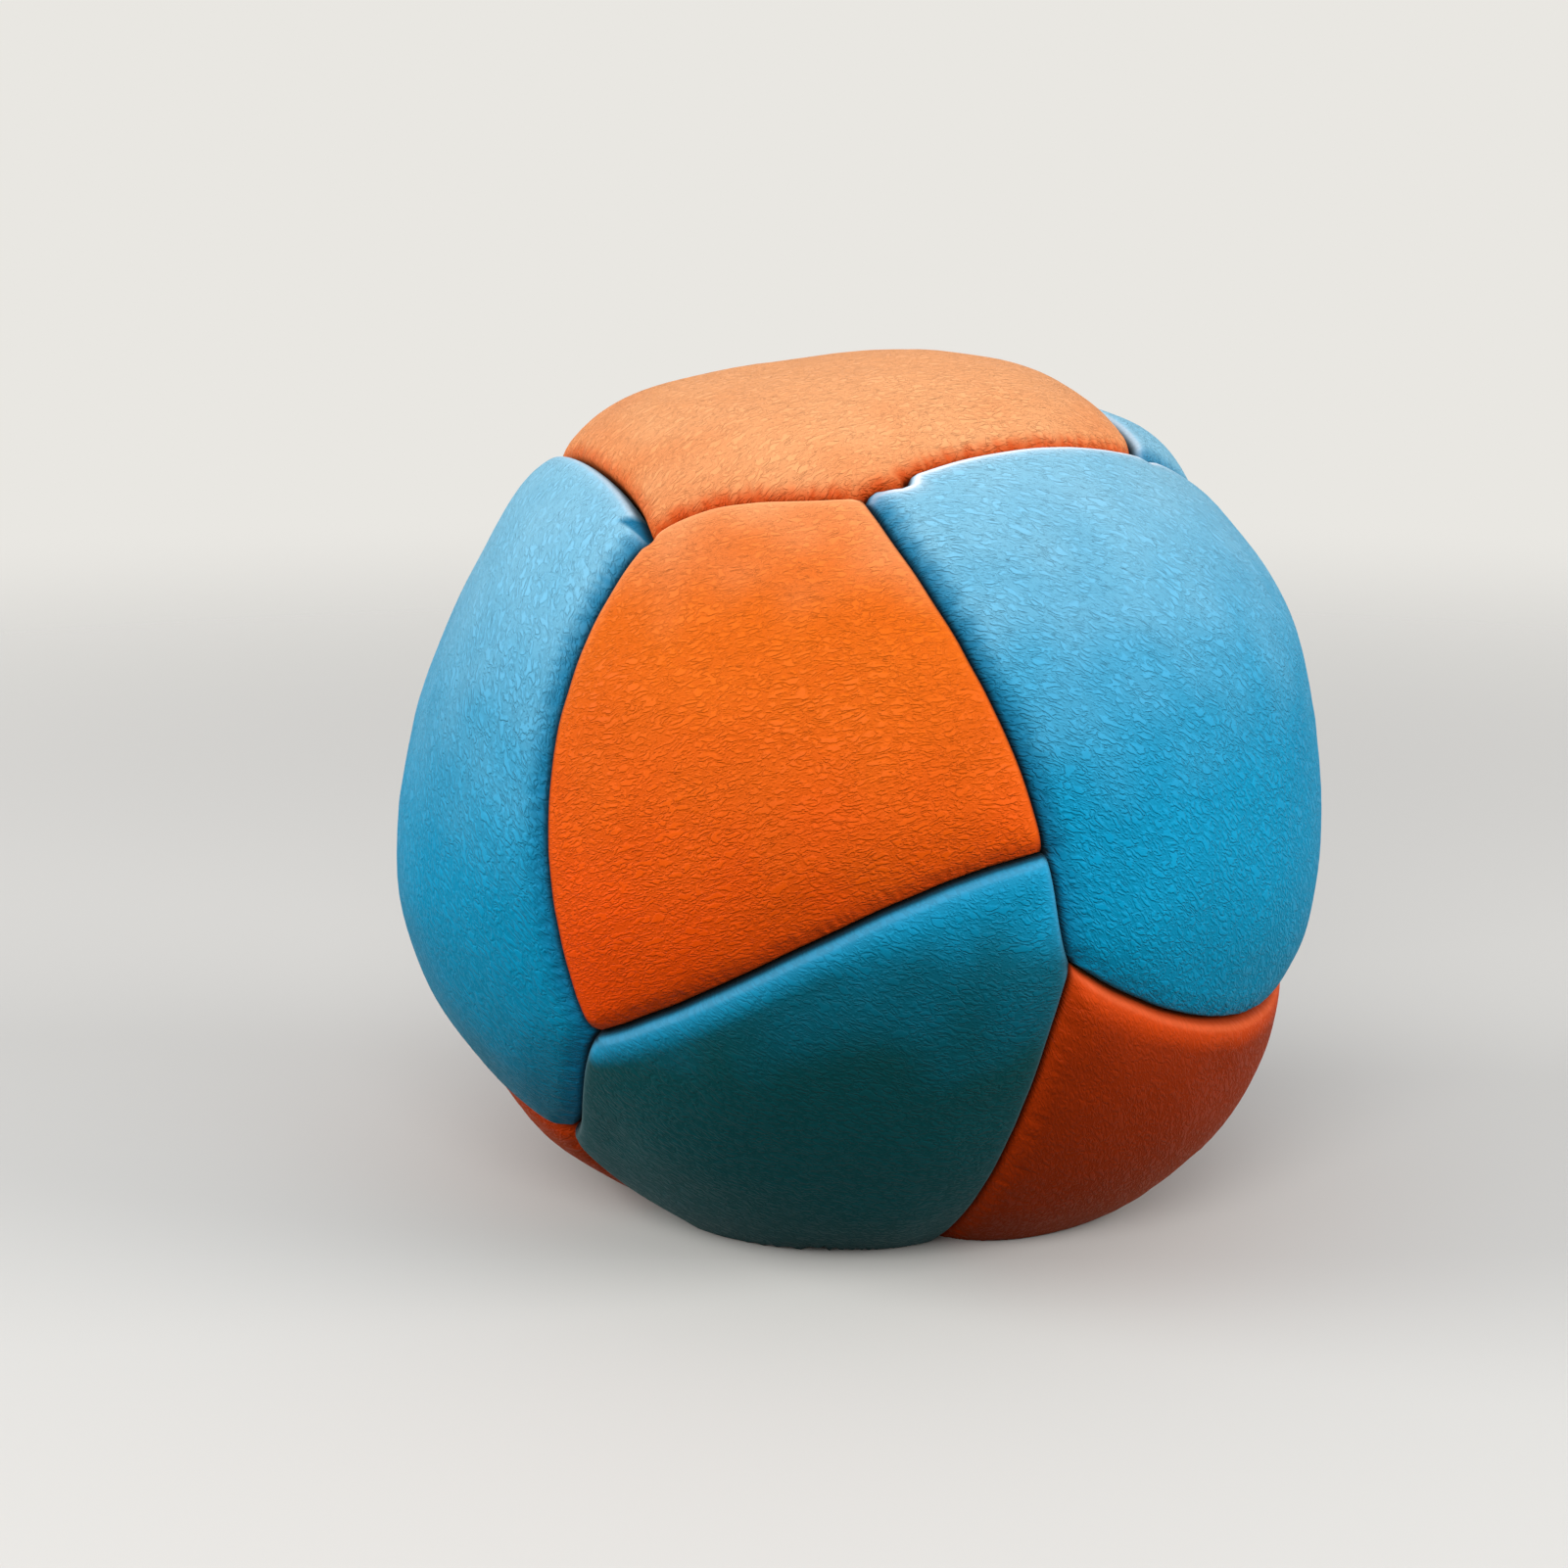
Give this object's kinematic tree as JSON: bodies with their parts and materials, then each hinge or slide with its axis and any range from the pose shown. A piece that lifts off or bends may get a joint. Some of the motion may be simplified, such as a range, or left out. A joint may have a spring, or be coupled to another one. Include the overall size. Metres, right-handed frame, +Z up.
{
  "type": "footbag",
  "caption": "Soft kicking ball of sewn orange and blue leather panels filled with plastic pellets, settled on a flat base.",
  "frame": {"origin": "on the resting surface, under the middle of the bag's width and depth", "axes": "+Z up, -Y towards the side with the front panel, +X to the right as seen from the front"},
  "size_m": [0.0616, 0.0612, 0.0567],
  "materials": {
    "orange_leather": "satin, fine grain",
    "blue_leather": "satin, fine grain",
    "thread": "waxed, matte",
    "pellets": "matte"
  },
  "bodies": {
    "root": {"panel_top": "orange_leather", "panel_front": "orange_leather", "panel_lower_right": "orange_leather", "panel_lower_left": "orange_leather", "panel_left": "blue_leather", "panel_right": "blue_leather", "panel_lower_front": "blue_leather", "panel_back": "blue_leather", "stitches_top_to_front": "thread", "stitches_front_to_left": "thread", "stitches_front_to_right": "thread", "stitches_front_to_lower_front": "thread", "stitches_top_to_right": "thread", "stitches_top_to_left": "thread", "stitches_top_to_back": "thread", "stitches_right_to_back": "thread", "stitches_left_to_lower_front": "thread", "stitches_right_to_lower_front": "thread", "stitches_right_to_lower_right": "thread", "stitches_lower_front_to_lower_right": "thread", "stitches_lower_front_to_lower_left": "thread", "stitches_left_to_lower_left": "thread", "stitches_left_to_back": "thread", "stitches_back_to_lower_left": "thread", "stitches_back_to_lower_right": "thread", "stitches_lower_right_to_lower_left": "thread", "pellet_fill": "pellets"}
  },
  "joints": []
}
